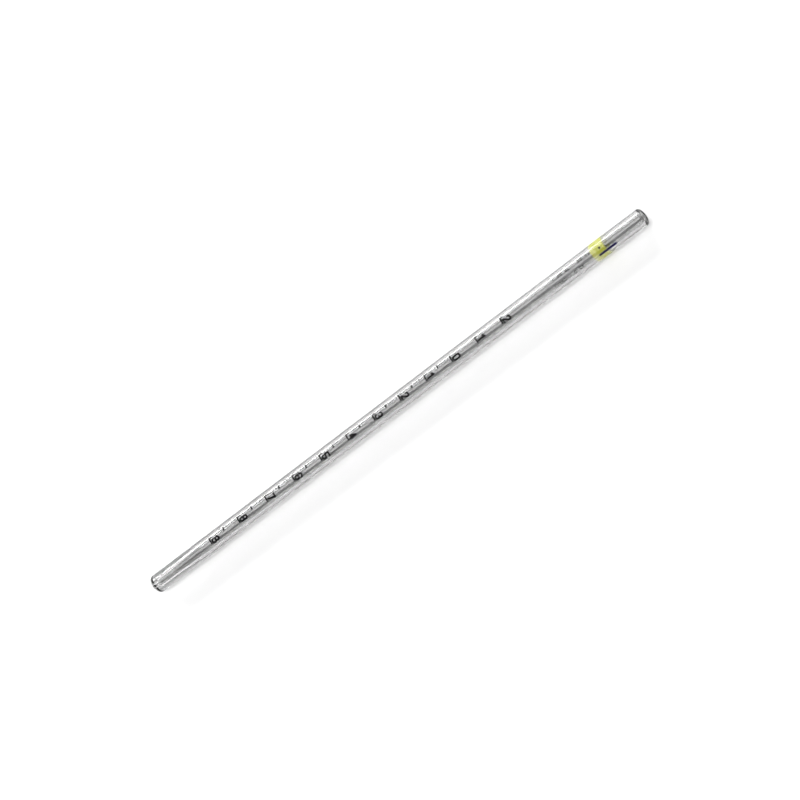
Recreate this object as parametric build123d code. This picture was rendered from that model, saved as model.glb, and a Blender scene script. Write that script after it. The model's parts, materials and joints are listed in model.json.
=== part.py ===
from build123d import *

import os
from math import atan2, degrees, hypot, pi

# Graduated 1 mL pipette, lying along X with the mouth towards +X and its underside on Z = 0.
# X = 0 is the middle of its length. Every "_at" distance is measured from the tip's end, and every
# angle round the tube from its top line, positive towards +Y.

# Tube, in millimetres; the bore widens evenly from the tip's cone to its straight stretch at the mouth
overall_length = 205.0
outer_diameter = 6.2
bore_at_tip = 3.22
bore_at_mouth = 3.58
straight_bore_length = 33.8

# Tip: orifice, straight fine bore, then a cone that opens to the barrel's bore
tip_length = 20.2
orifice_diameter = 1.0
orifice_length = 2.4
fine_bore_diameter = 2.15
cone_start_at = 10.5
tip_end_radius = 1.7

# Mouthpiece: fire-polished end on the straight stretch of the bore
mouthpiece_length = 10.0
mouth_outer_radius = 1.0
mouth_inner_radius = 0.25

# Scale, in millilitres and millimetres; the held-back volume wets the glass and stays in the tip
capacity = 1.0
held_back_volume = 0.034
major_step = 0.1
majors_below_zero = 9
majors_above_zero = 2
minors_per_major = 10
line_width = 0.55
minor_line_width = 0.24
line_start_angle = 36.0
major_line_angle = 42.0
mid_line_angle = 22.0
minor_line_angle = 13.0
ink_thickness = 0.04

# Numerals stand on their lines and read with the mouth end up
numeral_height = 3.1
numeral_width = 1.8
numeral_stroke = 0.6
numeral_line_gap = 0.05
numeral_centre_angle = 4.0
dot_size = 0.42

# Colour-code band, let into the tube, and the navy marks printed over it
band_before_mouth = 20.1
band_width = 5.1
band_depth = 0.04
navy_bar_past_band_start = 1.8
navy_bar_length = 7.1
navy_bar_width = 0.75
navy_bar_angle = -29.0
navy_dot_past_band_start = 3.4
navy_dot_diameter = 0.7
navy_dot_angle = 9.0

# Label, two rows of small characters that read towards the mouth and end beside the band
label_height = 1.0
label_width = 0.72
label_stroke = 0.24
label_pitch = 1.02
capacity_row_before_band = 15.3
capacity_row_angle = 21.0
calibration_row_before_band = 15.9
calibration_row_angle = -20.0

# Shares of the wall that a rounded rim may take
outer_rim_share = 0.78
inner_rim_share = 0.2

outer_radius = outer_diameter / 2
left_end = -overall_length / 2
barrel_start_at = tip_length
barrel_end_at = overall_length - mouthpiece_length
straight_bore_at = overall_length - straight_bore_length
band_at = overall_length - band_before_mouth


def lathe(profile):
    """Turn a closed (distance, radius) outline round the tube's axis."""
    points = [(left_end + distance, radius) for distance, radius in profile]
    return revolve(make_face(Polyline(*points, close=True)), axis=Axis.X)


def rim(solid, at, radius):
    """The circular edges of a given radius in the plane square to the axis at a distance."""
    plane_x = left_end + at
    return [
        edge
        for edge in solid.edges().filter_by(GeomType.CIRCLE)
        if abs(edge.arc_center.X - plane_x) < 1e-6 and abs(edge.radius - radius) < 1e-6
    ]


def make_tip():
    outline = [
        (0, orifice_diameter / 2),
        (orifice_length, orifice_diameter / 2),
        (orifice_length, fine_bore_diameter / 2),
        (cone_start_at, fine_bore_diameter / 2),
        (tip_length, bore_at_tip / 2),
        (tip_length, outer_radius),
        (0, outer_radius),
    ]
    tip = lathe(outline)
    wall = outer_radius - orifice_diameter / 2
    return fillet(rim(tip, 0, outer_radius), min(tip_end_radius, outer_rim_share * wall))


def make_barrel():
    outline = [
        (barrel_start_at, bore_at_tip / 2),
        (straight_bore_at, bore_at_mouth / 2),
        (barrel_end_at, bore_at_mouth / 2),
        (barrel_end_at, outer_radius),
        (band_at + band_width, outer_radius),
        (band_at + band_width, outer_radius - band_depth),
        (band_at, outer_radius - band_depth),
        (band_at, outer_radius),
        (barrel_start_at, outer_radius),
    ]
    return lathe(outline)


def make_mouthpiece():
    outline = [
        (barrel_end_at, bore_at_mouth / 2),
        (overall_length, bore_at_mouth / 2),
        (overall_length, outer_radius),
        (barrel_end_at, outer_radius),
    ]
    mouthpiece = lathe(outline)
    wall = outer_radius - bore_at_mouth / 2
    outer_round = min(mouth_outer_radius, outer_rim_share * wall)
    inner_round = min(mouth_inner_radius, inner_rim_share * wall)
    mouthpiece = fillet(rim(mouthpiece, overall_length, outer_radius), outer_round)
    return fillet(rim(mouthpiece, overall_length, bore_at_mouth / 2), inner_round)


def make_band():
    outline = [
        (band_at, outer_radius - band_depth),
        (band_at + band_width, outer_radius - band_depth),
        (band_at + band_width, outer_radius),
        (band_at, outer_radius),
    ]
    return lathe(outline)


def frustum_volume(length, first_diameter, last_diameter):
    """Volume in cubic millimetres of a bore stretch between two diameters."""
    squares = first_diameter**2 + first_diameter * last_diameter + last_diameter**2
    return pi / 12 * length * squares


def contained_volume(at):
    """Millilitres held between the orifice and a place where the barrel's bore widens."""
    slope = (bore_at_mouth - bore_at_tip) / (straight_bore_at - barrel_start_at)
    bore_there = bore_at_tip + slope * (at - barrel_start_at)
    tip_volume = (
        frustum_volume(orifice_length, orifice_diameter, orifice_diameter)
        + frustum_volume(cone_start_at - orifice_length, fine_bore_diameter, fine_bore_diameter)
        + frustum_volume(tip_length - cone_start_at, fine_bore_diameter, bore_at_tip)
    )
    return (tip_volume + frustum_volume(at - barrel_start_at, bore_at_tip, bore_there)) / 1000


def line_at(reading):
    """Place of a scale line: below it is the capacity less its reading, and what is held back."""
    wanted = capacity - reading + held_back_volume
    low, high = 0.0, overall_length
    for _ in range(60):
        middle = (low + high) / 2
        if contained_volume(middle) < wanted:
            low = middle
        else:
            high = middle
    return (low + high) / 2


def scale_line(at, width, angle):
    """A printed arc across the tube that starts at the scale's left edge."""
    film = [
        (at - width / 2, outer_radius),
        (at + width / 2, outer_radius),
        (at + width / 2, outer_radius + ink_thickness),
        (at - width / 2, outer_radius + ink_thickness),
    ]
    points = [(left_end + distance, radius) for distance, radius in film]
    arc = revolve(make_face(Polyline(*points, close=True)), axis=Axis.X, revolution_arc=angle)
    return Rot(X=90 - line_start_angle) * arc


def glyph(character, height, width, stroke):
    """Outline of one figure, its left edge at X = 0 and its foot on Y = 0."""
    half = (width - stroke) / 2
    left, centre, right = stroke / 2, stroke / 2 + half, stroke / 2 + 2 * half
    foot, top = stroke / 2, height - stroke / 2
    middle = (foot + top) / 2

    def bar(x1, y1, x2, y2):
        slope = degrees(atan2(y2 - y1, x2 - x1))
        slot = SlotCenterToCenter(hypot(x2 - x1, y2 - y1), stroke)
        return Pos((x1 + x2) / 2, (y1 + y2) / 2) * Rot(Z=slope) * slot

    def bow(y, start, sweep):
        return SlotArc(CenterArc((centre, y), half, start, sweep), stroke)

    def dot(x, y):
        return Pos(x, y) * Circle(dot_size * stroke)

    over, under = bow(top - half, 0, 180), bow(foot + half, 180, 180)
    left_side = bar(left, foot + half, left, top - half)
    upper_left = bar(left, middle + half, left, top - half)
    lower_left = bar(left, foot + half, left, middle - half)
    upper_right = bar(right, middle + half, right, top - half)
    lower_right = bar(right, foot + half, right, middle - half)
    six = [over, left_side, under, lower_right, bow(middle - half, 0, 180)]
    strokes = {
        "0": [over, under, left_side, bar(right, foot + half, right, top - half)],
        "1": [bar(centre, foot, centre, top), bar(centre, top, left, top - half)],
        "2": [over, bar(right, top - half, left, foot), bar(left, foot, right, foot)],
        "3": [over, upper_right, bow(middle + half, 270, 90), bow(middle - half, 0, 90), lower_right, under],
        "4": [
            bar(right - half / 2, foot, right - half / 2, top),
            bar(right - half / 2, top, left, foot + height / 4),
            bar(left, foot + height / 4, right, foot + height / 4),
        ],
        "5": [
            bar(right, top, left, top),
            bar(left, top, left, middle),
            bar(left, middle, centre, middle),
            bow(middle - half, 0, 90),
            lower_right,
            under,
        ],
        "6": six,
        "7": [bar(left, top, right, top), bar(right, top, centre - half / 4, foot)],
        "8": [
            over,
            under,
            bow(middle + half, 180, 180),
            bow(middle - half, 0, 180),
            upper_left,
            lower_left,
            upper_right,
            lower_right,
        ],
        "9": [Pos(centre, middle) * Rot(Z=180) * Pos(-centre, -middle) * part for part in six],
        ".": [dot(centre, dot_size * stroke)],
        ":": [dot(centre, height / 4), dot(centre, height * 3 / 4)],
        "/": [bar(left, foot, right, top)],
        "L": [bar(left, top, left, foot), bar(left, foot, right, foot)],
        "m": [
            bar(left, foot, left, middle + half / 2),
            bar(centre, foot, centre, middle + half / 2),
            bar(right, foot, right, middle + half / 2),
            bar(left, middle + half / 2, right, middle + half / 2),
        ],
        "C": [over, under, left_side],
        "°": [Pos(centre, top - half / 2) * (Circle((half + stroke) / 2) - Circle(half / 2 - stroke / 3))],
    }[character]
    figure = strokes[0]
    for part in strokes[1:]:
        figure += part
    return figure


def print_on_tube(flat):
    """Ink film, on top of the tube, in the outline of a flat sketch seen from above."""
    film = lathe(
        [
            (0, outer_radius),
            (overall_length, outer_radius),
            (overall_length, outer_radius + ink_thickness),
            (0, outer_radius + ink_thickness),
        ]
    )
    return film & extrude(flat, outer_diameter)


def numeral(reading_tenths, at):
    """Numeral of a line, such as .3, standing on the line with its top towards the mouth."""
    figure = glyph(str(reading_tenths), numeral_height, numeral_width, numeral_stroke)
    figure = Pos(-numeral_width / 2, 0) * figure
    if reading_tenths:
        point_radius = dot_size * numeral_stroke
        figure += Pos(-numeral_width / 2 - 2 * point_radius, point_radius) * Circle(point_radius)
    foot_x = left_end + at + line_width / 2 + numeral_line_gap
    return Rot(X=-numeral_centre_angle) * print_on_tube(Pos(foot_x, 0) * Rot(Z=-90) * figure)


def label_row(text, at, angle):
    """A row of small characters that reads along the tube."""
    row = None
    for place, character in enumerate(text):
        if character == " ":
            continue
        outline = glyph(character, label_height, label_width, label_stroke)
        outline = Pos(left_end + at + place * label_pitch, -label_height / 2) * outline
        row = outline if row is None else row + outline
    return Rot(X=-angle) * print_on_tube(row)


def make_navy_marks():
    bar_middle = left_end + band_at + navy_bar_past_band_start + navy_bar_length / 2
    dot_middle = left_end + band_at + navy_dot_past_band_start
    bar = Pos(bar_middle, 0) * SlotOverall(navy_bar_length, navy_bar_width)
    dot = Pos(dot_middle, 0) * Circle(navy_dot_diameter / 2)
    return [
        Rot(X=-navy_bar_angle) * print_on_tube(bar),
        Rot(X=-navy_dot_angle) * print_on_tube(dot),
    ]


def tenths_name(tenths):
    return f"{'above_zero_' if tenths < 0 else ''}0_{abs(tenths)}"


def make_scale():
    """Scale nodes by name: one for each major and mid line and each numeral, one for all minor lines."""
    nodes, minors = {}, []
    for tenths in range(-majors_above_zero, majors_below_zero + 1):
        at = line_at(tenths * major_step)
        nodes[f"major_line_{tenths_name(tenths)}"] = scale_line(at, line_width, major_line_angle)
        nodes[f"numeral_{tenths_name(tenths)}"] = numeral(abs(tenths), at)
        if tenths < 1:
            continue
        for part in range(1, minors_per_major):
            reading = (tenths - part / minors_per_major) * major_step
            if part * 2 == minors_per_major:
                mid = scale_line(line_at(reading), line_width, mid_line_angle)
                nodes[f"mid_line_{tenths_name(tenths - 1)}5"] = mid
            else:
                minors.append(scale_line(line_at(reading), minor_line_width, minor_line_angle))
    nodes["minor_lines"] = minors
    return nodes


def build():
    nodes = {
        "tip": make_tip(),
        "barrel": make_barrel(),
        "mouthpiece": make_mouthpiece(),
        "colour_code_band": make_band(),
        "capacity_print": label_row(
            "1.00 mL : 20 °C", band_at - capacity_row_before_band, capacity_row_angle
        ),
        "calibration_print": label_row(
            "1/100 : 0.01", band_at - calibration_row_before_band, calibration_row_angle
        ),
        "navy_marks": make_navy_marks(),
    }
    nodes.update(make_scale())
    return nodes


os.makedirs("parts", exist_ok=True)
for name, shape in build().items():
    pieces = shape if isinstance(shape, list) else [shape]
    solids = [solid for piece in pieces for solid in piece.solids()]
    raised = [Pos(0, 0, outer_radius) * solid for solid in solids]
    export_step(raised[0] if len(raised) == 1 else Compound(children=raised), f"parts/{name}.step")
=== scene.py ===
"""Graduated glass pipette lying on a pale table: its glass, its printing, the light and the camera."""

from __future__ import annotations

import json
import logging
import math
from dataclasses import dataclass, field
from enum import Enum

import bpy
from mathutils import Matrix, Vector

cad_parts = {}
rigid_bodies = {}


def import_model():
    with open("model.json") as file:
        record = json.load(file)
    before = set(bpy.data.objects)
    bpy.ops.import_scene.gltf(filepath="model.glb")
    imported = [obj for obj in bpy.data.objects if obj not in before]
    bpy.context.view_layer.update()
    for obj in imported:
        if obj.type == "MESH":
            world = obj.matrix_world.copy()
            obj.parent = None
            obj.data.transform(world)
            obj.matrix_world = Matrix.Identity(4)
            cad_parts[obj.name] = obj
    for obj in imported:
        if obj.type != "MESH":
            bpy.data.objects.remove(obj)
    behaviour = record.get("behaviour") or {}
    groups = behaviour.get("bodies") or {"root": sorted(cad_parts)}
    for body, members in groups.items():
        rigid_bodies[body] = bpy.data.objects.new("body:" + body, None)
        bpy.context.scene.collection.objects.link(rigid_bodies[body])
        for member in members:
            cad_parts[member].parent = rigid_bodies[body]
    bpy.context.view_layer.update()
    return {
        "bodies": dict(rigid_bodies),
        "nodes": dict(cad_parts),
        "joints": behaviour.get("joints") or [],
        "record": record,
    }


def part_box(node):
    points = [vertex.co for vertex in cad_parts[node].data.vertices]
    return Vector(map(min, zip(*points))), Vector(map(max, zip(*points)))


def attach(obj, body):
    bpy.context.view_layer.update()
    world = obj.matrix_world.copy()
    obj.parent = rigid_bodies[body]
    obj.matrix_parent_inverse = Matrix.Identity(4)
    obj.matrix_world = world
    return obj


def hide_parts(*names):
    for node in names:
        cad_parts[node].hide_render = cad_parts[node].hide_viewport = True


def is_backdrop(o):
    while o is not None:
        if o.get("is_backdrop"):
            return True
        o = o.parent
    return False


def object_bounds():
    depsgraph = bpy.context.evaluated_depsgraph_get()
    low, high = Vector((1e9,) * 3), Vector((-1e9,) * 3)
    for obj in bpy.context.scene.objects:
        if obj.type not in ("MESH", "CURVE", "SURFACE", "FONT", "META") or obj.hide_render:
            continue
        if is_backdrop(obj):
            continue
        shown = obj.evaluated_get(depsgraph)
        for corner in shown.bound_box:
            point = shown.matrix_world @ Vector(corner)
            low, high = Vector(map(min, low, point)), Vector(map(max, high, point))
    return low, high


LOG = logging.getLogger("pipette")
MM = 0.001

Point = tuple[float, float]
Point3 = tuple[float, float, float]
Colour = tuple[float, float, float, float]

EVEN: Point3 = (1.0, 1.0, 1.0)


class Slot(Enum):
    """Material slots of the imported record."""

    GLASS = "clear_glass"
    BLACK = "black_ink"
    YELLOW = "yellow_enamel"
    NAVY = "navy_ink"


# ---------------------------------------------------------------- finishes


class NodeKit:
    """A material's node tree with short calls for the nodes that the finishes use."""

    def __init__(self, name: str) -> None:
        """Start a material that has only a Principled shader and an output."""
        self.material = bpy.data.materials.new(name)
        self.material.use_nodes = True
        self.tree = self.material.node_tree
        self.shader = self.tree.nodes["Principled BSDF"]

    def node(self, kind: str, **values: object) -> bpy.types.Node:
        """Add a node and set the inputs that are named."""
        made = self.tree.nodes.new(kind)
        for name, value in values.items():
            made.inputs[name].default_value = value
        return made

    def link(self, start: bpy.types.NodeSocket, end: bpy.types.NodeSocket) -> None:
        """Join two sockets."""
        self.tree.links.new(start, end)

    def stretched_noise(self, stretch: Point3, scale: float, detail: float) -> bpy.types.Node:
        """Add a noise on Object coordinates.

        Args:
            stretch: factor on each axis, small along the grain of the pattern.
            scale: fineness of the noise.
            detail: octaves of the noise.

        Returns:
            The noise node.
        """
        place = self.tree.nodes.new("ShaderNodeTexCoord")
        mapping = self.node("ShaderNodeMapping", Scale=stretch)
        noise = self.node("ShaderNodeTexNoise", Scale=scale, Detail=detail)
        self.link(place.outputs["Object"], mapping.inputs["Vector"])
        self.link(mapping.outputs["Vector"], noise.inputs["Vector"])
        return noise

    def ramp(self, factor: bpy.types.NodeSocket, low: Colour, high: Colour, span: Point) -> bpy.types.Node:
        """Add a colour ramp between two colours over a span of the factor."""
        made = self.tree.nodes.new("ShaderNodeValToRGB")
        made.color_ramp.elements[0].position, made.color_ramp.elements[1].position = span
        made.color_ramp.elements[0].color, made.color_ramp.elements[1].color = low, high
        self.link(factor, made.inputs["Fac"])
        return made

    def bump(self, height: bpy.types.NodeSocket, strength: float, distance: float) -> None:
        """Raise the surface by a height."""
        made = self.node("ShaderNodeBump", Strength=strength, Distance=distance)
        self.link(height, made.inputs["Height"])
        self.link(made.outputs["Normal"], self.shader.inputs["Normal"])

    def set(self, **values: object) -> None:
        """Set inputs of the Principled shader, with spaces in their names written as underscores."""
        for name, value in values.items():
            self.shader.inputs[name.replace("_", " ")].default_value = value


@dataclass(frozen=True)
class ClearGlass:
    """Drawn glass with a grey tint and the faint draw lines that run along a tube."""

    tint: Colour = (0.64, 0.64, 0.64, 1.0)
    ior: float = 1.51
    draw_line_grain: Point3 = (0.0, 400.0, 400.0)
    draw_line_scale: float = 2.2
    draw_line_strength: float = 0.01
    draw_line_height: float = 0.000002

    def material(self) -> bpy.types.Material:
        """Make the material."""
        kit = NodeKit("drawn_glass")
        kit.set(Base_Color=self.tint, Roughness=0.0, IOR=self.ior, Transmission_Weight=1.0)
        lines = kit.stretched_noise(self.draw_line_grain, self.draw_line_scale, 2.0)
        kit.bump(lines.outputs["Fac"], self.draw_line_strength, self.draw_line_height)
        return kit.material


@dataclass(frozen=True)
class PrintedInk:
    """Screen-printed ink: nearly even, a little thinner in patches, dull."""

    name: str
    full: Colour
    thin: Colour
    patch_scale: float = 3200.0
    smooth: Colour = (0.42, 0.42, 0.42, 1.0)
    rough: Colour = (0.62, 0.62, 0.62, 1.0)
    gloss: float = 0.06
    film_height: float = 0.00001

    def material(self) -> bpy.types.Material:
        """Make the material."""
        kit = NodeKit(self.name)
        cover = kit.stretched_noise(EVEN, self.patch_scale, 3.0)
        colour = kit.ramp(cover.outputs["Fac"], self.full, self.thin, (0.56, 0.8))
        kit.link(colour.outputs["Color"], kit.shader.inputs["Base Color"])
        rough = kit.ramp(cover.outputs["Fac"], self.smooth, self.rough, (0.3, 0.7))
        kit.link(rough.outputs["Color"], kit.shader.inputs["Roughness"])
        kit.bump(cover.outputs["Fac"], 0.3, self.film_height)
        kit.set(Specular_IOR_Level=self.gloss)
        return kit.material


@dataclass(frozen=True)
class BandEnamel:
    """Yellow colour-code enamel, thin enough that light comes through it."""

    full: Colour = (0.62, 0.66, 0.0, 1.0)
    thin: Colour = (0.7, 0.7, 0.02, 1.0)
    cover: float = 0.22
    patch_scale: float = 900.0
    roughness: float = 0.28
    film_height: float = 0.00001

    def material(self) -> bpy.types.Material:
        """Make the material."""
        kit = NodeKit("yellow_band_enamel")
        patches = kit.stretched_noise(EVEN, self.patch_scale, 3.0)
        colour = kit.ramp(patches.outputs["Fac"], self.full, self.thin, (0.35, 0.75))
        kit.link(colour.outputs["Color"], kit.shader.inputs["Base Color"])
        kit.set(Roughness=self.roughness, Alpha=self.cover)
        kit.bump(patches.outputs["Fac"], 0.2, self.film_height)
        return kit.material


@dataclass(frozen=True)
class Backdrop:
    """Matt white paper under the tube."""

    white: float = 0.9

    def material(self) -> bpy.types.Material:
        """Make the material."""
        kit = NodeKit("paper_sweep")
        kit.set(Base_Color=(self.white,) * 3 + (1.0,), Roughness=0.9, Specular_IOR_Level=0.0)
        return kit.material


# ---------------------------------------------------------------- modelling


class Bench:
    """Steps that every modelled piece shares."""

    @staticmethod
    def clear_selection() -> None:
        """Leave object mode with nothing selected."""
        if bpy.context.object and bpy.context.object.mode != "OBJECT":
            bpy.ops.object.mode_set(mode="OBJECT")
        bpy.ops.object.select_all(action="DESELECT")

    @staticmethod
    def lathe(name: str, outline: list[Point], axis_height: float, steps: int) -> bpy.types.Object:
        """Turn a closed outline round the tube's axis.

        Args:
            name: the new piece's name.
            outline: (place along X, radius) of each corner, in metres, without the first repeated.
            axis_height: height of the axis.
            steps: divisions round the axis.

        Returns:
            The turned piece, closed, with its faces outwards.
        """
        Bench.clear_selection()
        first_x, first_radius = outline[0]
        bpy.ops.mesh.primitive_plane_add(size=MM, location=(0.0, 0.0, 0.0))
        piece = bpy.context.object
        piece.name = piece.data.name = name
        bpy.ops.object.mode_set(mode="EDIT")
        bpy.ops.mesh.merge(type="CENTER")
        bpy.ops.transform.translate(value=(first_x, 0.0, axis_height + first_radius))
        here = outline[0]
        for there in outline[1:] + outline[:1]:
            step = (there[0] - here[0], 0.0, there[1] - here[1])
            bpy.ops.mesh.extrude_vertices_move(TRANSFORM_OT_translate={"value": step})
            here = there
        bpy.ops.mesh.select_all(action="SELECT")
        bpy.ops.mesh.spin(
            steps=steps, angle=math.tau, center=(0.0, 0.0, axis_height), axis=(1.0, 0.0, 0.0)
        )
        bpy.ops.mesh.select_all(action="SELECT")
        bpy.ops.mesh.remove_doubles(threshold=MM / 1000)
        bpy.ops.mesh.normals_make_consistent(inside=False)
        bpy.ops.object.mode_set(mode="OBJECT")
        bpy.ops.object.shade_smooth()
        return piece

    @staticmethod
    def dress(piece: bpy.types.Object, material: bpy.types.Material, slot: Slot) -> None:
        """Give a piece its one material."""
        piece.data.materials.clear()
        piece.data.materials.append(material)


class Outline:
    """A closed outline with rounded corners and close, even rings along its straight runs."""

    def __init__(self, ring_spacing: float) -> None:
        """Start an empty outline with its largest gap between two rings."""
        self.ring_spacing = ring_spacing
        self.corners: list[tuple[Point, float, int]] = []

    def corner(self, x: float, radius: float, rounding: float, steps: int = 8) -> None:
        """Add a corner at a place and radius, with its rounding and the divisions of its arc."""
        self.corners.append(((x, radius), rounding, steps))

    @staticmethod
    def _arc(before: Point, corner: Point, after: Point, rounding: float, steps: int) -> list[Point]:
        """Points of the arc that rounds one corner, from the run before it to the run after it."""
        here, back, ahead = Vector(corner), Vector(before), Vector(after)
        to_back, to_ahead = (back - here).normalized(), (ahead - here).normalized()
        half_turn = (math.pi - to_back.angle(to_ahead)) / 2
        reach = rounding * math.tan(half_turn)
        centre = here + (to_back + to_ahead).normalized() * (rounding / math.cos(half_turn))
        first, last = here + to_back * reach - centre, here + to_ahead * reach - centre
        points = []
        for index in range(steps + 1):
            turn = first.angle_signed(last) * -index / steps
            turned = Matrix.Rotation(turn, 2) @ first
            points.append(tuple(centre + turned))
        return points

    def points(self) -> list[Point]:
        """All points of the outline, arcs first worked out and the runs between them divided."""
        places = [corner[0] for corner in self.corners]
        arcs = [
            self._arc(places[index - 1], place, places[(index + 1) % len(places)], rounding, steps)
            for index, (place, rounding, steps) in enumerate(self.corners)
        ]
        points: list[Point] = []
        for arc, following in zip(arcs, arcs[1:] + arcs[:1]):
            points += arc
            start, end = Vector(arc[-1]), Vector(following[0])
            run = (end - start).length
            support = min(0.15 * MM, run / 4)
            inner = run - 2 * support
            count = max(1, math.ceil(inner / self.ring_spacing))
            for index in range(count + 1):
                points.append(tuple(start.lerp(end, (support + inner * index / count) / run)))
        return points


@dataclass
class GlassTube:
    """Tip, barrel and mouthpiece as the one clear body that their fused glass makes.

    Lengths run from the tip's end, in metres.
    """

    finish: ClearGlass = field(default_factory=ClearGlass)
    fine_bore_radius: float = 1.075 * MM
    cone_start: float = 10.5 * MM
    bore_radius_at_tip: float = 1.61 * MM
    nose_rounding: float = 1.7 * MM
    lip_rounding: float = 0.98 * MM
    lip_inner_rounding: float = 0.25 * MM
    outlet_rounding: float = 0.16 * MM
    shoulder_inner_rounding: float = 0.22 * MM
    shoulder_outer_rounding: float = 0.3 * MM
    bore_blend: float = 40.0 * MM
    print_clearance: float = 0.005 * MM
    ring_spacing: float = 3.0 * MM
    steps_round: int = 144

    def build(self) -> bpy.types.Object:
        """Model, dress and place the tube."""
        tip_low, tip_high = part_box("tip")
        mouth_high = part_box("mouthpiece")[1]
        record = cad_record()
        mouth_radius = mount_size(record, "mouth_bore", "r_mm")
        straight_length = mount_size(record, "mouth_bore", "length_mm") + self.lip_inner_rounding
        outlet_radius = mount_size(record, "tip_orifice", "r_mm")
        outlet_length = mount_size(record, "tip_orifice", "length_mm")
        axis_height = (tip_low.z + tip_high.z) / 2
        outer_radius = (tip_high.z - tip_low.z) / 2 - self.print_clearance
        start, end = tip_low.x, mouth_high.x
        outline = Outline(self.ring_spacing)
        outline.corner(start, outer_radius, self.nose_rounding, 20)
        outline.corner(start, outlet_radius, self.outlet_rounding)
        outline.corner(start + outlet_length, outlet_radius, self.shoulder_inner_rounding)
        outline.corner(start + outlet_length, self.fine_bore_radius, self.shoulder_outer_rounding, 10)
        outline.corner(start + self.cone_start, self.fine_bore_radius, self.bore_blend)
        outline.corner(tip_high.x, self.bore_radius_at_tip, self.bore_blend)
        outline.corner(end - straight_length, mouth_radius, self.bore_blend)
        outline.corner(end, mouth_radius, self.lip_inner_rounding, 10)
        outline.corner(end, outer_radius, self.lip_rounding, 18)
        tube = Bench.lathe("glass_tube", outline.points(), axis_height, self.steps_round)
        Bench.dress(tube, self.finish.material(), Slot.GLASS)
        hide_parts("tip", "barrel", "mouthpiece")
        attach(tube, "root")
        return tube


@dataclass
class ColourBand:
    """The enamel ring that codes the pipette's capacity."""

    finish: BandEnamel = field(default_factory=BandEnamel)
    depth: float = 0.003 * MM
    edge_rounding: float = 0.001 * MM
    ring_spacing: float = 0.5 * MM
    steps_round: int = 144

    def build(self) -> bpy.types.Object:
        """Model, dress and place the ring."""
        low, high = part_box("colour_code_band")
        axis_height = (low.z + high.z) / 2
        outer_radius = (high.z - low.z) / 2
        outline = Outline(self.ring_spacing)
        outline.corner(low.x, outer_radius, self.edge_rounding, 3)
        outline.corner(low.x, outer_radius - self.depth, self.edge_rounding, 3)
        outline.corner(high.x, outer_radius - self.depth, self.edge_rounding, 3)
        outline.corner(high.x, outer_radius, self.edge_rounding, 3)
        band = Bench.lathe("enamel_band", outline.points(), axis_height, self.steps_round)
        Bench.dress(band, self.finish.material(), Slot.YELLOW)
        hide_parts("colour_code_band")
        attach(band, "root")
        return band


@dataclass
class Printing:
    """The scale, the label rows and the navy marks: films that keep their own shape."""

    black: PrintedInk = PrintedInk("black_print", (0.0015, 0.0015, 0.002, 1.0), (0.008, 0.008, 0.009, 1.0))
    navy: PrintedInk = PrintedInk("navy_print", (0.006, 0.004, 0.045, 1.0), (0.016, 0.013, 0.09, 1.0))

    def dress(self, nodes: dict[str, bpy.types.Object]) -> None:
        """Give each printed film its ink."""
        inks = {Slot.BLACK.value: self.black.material(), Slot.NAVY.value: self.navy.material()}
        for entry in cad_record()["subparts"]:
            ink = inks.get(entry["material_slot"])
            if ink is None:
                continue
            film = nodes[entry["node"]]
            film.data.materials.clear()
            film.data.materials.append(ink)
            LOG.info("printed %s", entry["node"])


# ---------------------------------------------------------------- studio


# Name, skew and rise in degrees, width in metres, power in watts.
SOFTBOXES = (
    ("low_key", 0.0, 20.0, 0.5, 42.0),
    ("upper_side", 0.0, 65.0, 0.5, 3.0),
    ("overhead", 0.0, 80.0, 0.5, 12.5),
    ("upper_back", 0.0, 120.0, 1.4, 3.0),
    ("back", 0.0, 145.0, 0.5, 11.0),
    ("mouth_end", 66.0, 78.0, 1.2, 6.0),
    ("tip_end", -66.0, 78.0, 1.2, 4.5),
)


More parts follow.
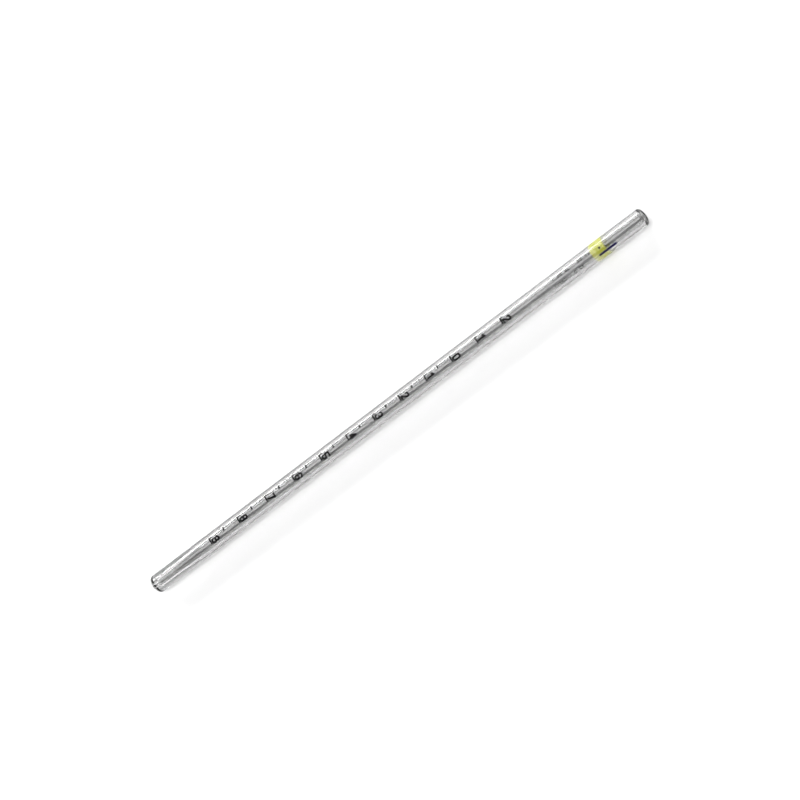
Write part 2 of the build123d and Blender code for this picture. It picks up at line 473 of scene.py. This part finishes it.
@dataclass
class Studio:
    """Paper and light."""

    floor_size: float = 6.0
    world_strength: float = 0.1
    reach: float = 1.6
    box_length: float = 1.6
    paper: Backdrop = field(default_factory=Backdrop)

    def floor(self) -> None:
        """Lay the paper that the tube rests on."""
        Bench.clear_selection()
        bpy.ops.mesh.primitive_plane_add(size=self.floor_size)
        paper = bpy.context.object
        paper.name = "paper"
        paper.data.materials.append(self.paper.material())
        paper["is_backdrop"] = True

    def world(self) -> None:
        """Set the even, dim light of the room."""
        world = bpy.data.worlds.new("room")
        world.use_nodes = True
        shade = world.node_tree.nodes["Background"]
        shade.inputs["Color"].default_value = (1.0, 1.0, 1.0, 1.0)
        shade.inputs["Strength"].default_value = self.world_strength
        bpy.context.scene.world = world

    def softbox(self, name: str, skew: float, rise: float, width: float, power: float) -> None:
        """Hang a softbox round the tube, facing it.

        Args:
            name: the light's name.
            skew: degrees from the plane square to the tube, towards the mouth.
            rise: degrees round the tube from the table on its +Y side.
            width: the box's width round the tube, in metres.
            power: its power, in watts.
        """
        Bench.clear_selection()
        across, along = math.cos(math.radians(skew)), math.sin(math.radians(skew))
        turn = math.radians(rise)
        towards = Vector((along, across * math.cos(turn), across * math.sin(turn)))
        bpy.ops.object.light_add(type="AREA", location=towards * self.reach)
        lamp = bpy.context.object
        lamp.name = name
        lamp.data.shape = "RECTANGLE"
        lamp.data.size = self.box_length
        lamp.data.size_y = width
        lamp.data.energy = power
        lamp.rotation_euler = towards.to_track_quat("Z", "Y").to_euler()

    def lights(self) -> None:
        """Hang the lights."""
        self.world()
        for name, skew, rise, width, power in SOFTBOXES:
            self.softbox(name, skew, rise, width, power)


@dataclass
class TableCamera:
    """A long lens nearly above the tube, leaning towards its mouth and rolled."""

    distance: float = 1.75
    lens: float = 250.8
    lean: float = math.radians(20.0)
    roll: float = math.radians(37.12)
    aim_right: float = 1.76 * MM
    aim_up: float = 1.47 * MM

    def build(self) -> None:
        """Make the camera and point it."""
        low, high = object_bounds()
        middle = (low + high) / 2
        back = Vector((math.sin(self.lean), 0.0, math.cos(self.lean)))
        along = Vector((math.cos(self.lean), 0.0, -math.sin(self.lean)))
        across = Vector((0.0, 1.0, 0.0))
        right = along * math.cos(self.roll) - across * math.sin(self.roll)
        up = along * math.sin(self.roll) + across * math.cos(self.roll)
        bpy.ops.object.camera_add()
        camera = bpy.context.object
        camera.name = "table_camera"
        camera.data.lens = self.lens
        camera.data.clip_end = 50.0
        turned = Matrix((right, up, back)).transposed().to_4x4()
        aim = middle + right * self.aim_right + up * self.aim_up
        camera.matrix_world = Matrix.Translation(aim + back * self.distance) @ turned
        bpy.context.scene.camera = camera


# ---------------------------------------------------------------- frame helpers


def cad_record() -> dict:
    """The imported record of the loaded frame."""
    return FRAME["record"]


def mount_size(record: dict, mount: str, key: str) -> float:
    """One size of a mount, in metres."""
    return next(m for m in record["mounts"] if m["name"] == mount)["dims"][key] * MM


FRAME: dict = {}


def main() -> None:
    """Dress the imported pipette, light it and frame it."""
    logging.basicConfig(level=logging.INFO, format="%(name)s: %(message)s")
    FRAME.update(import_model())
    camera = TableCamera()
    Bench.clear_selection()
    camera.build()
    LOG.info("glass: %s", GlassTube().build().name)
    LOG.info("band: %s", ColourBand().build().name)
    Printing().dress(FRAME["nodes"])
    studio = Studio()
    studio.floor()
    studio.lights()
    bpy.context.scene.view_settings.view_transform = "Standard"


if __name__ == "__main__":
    main()
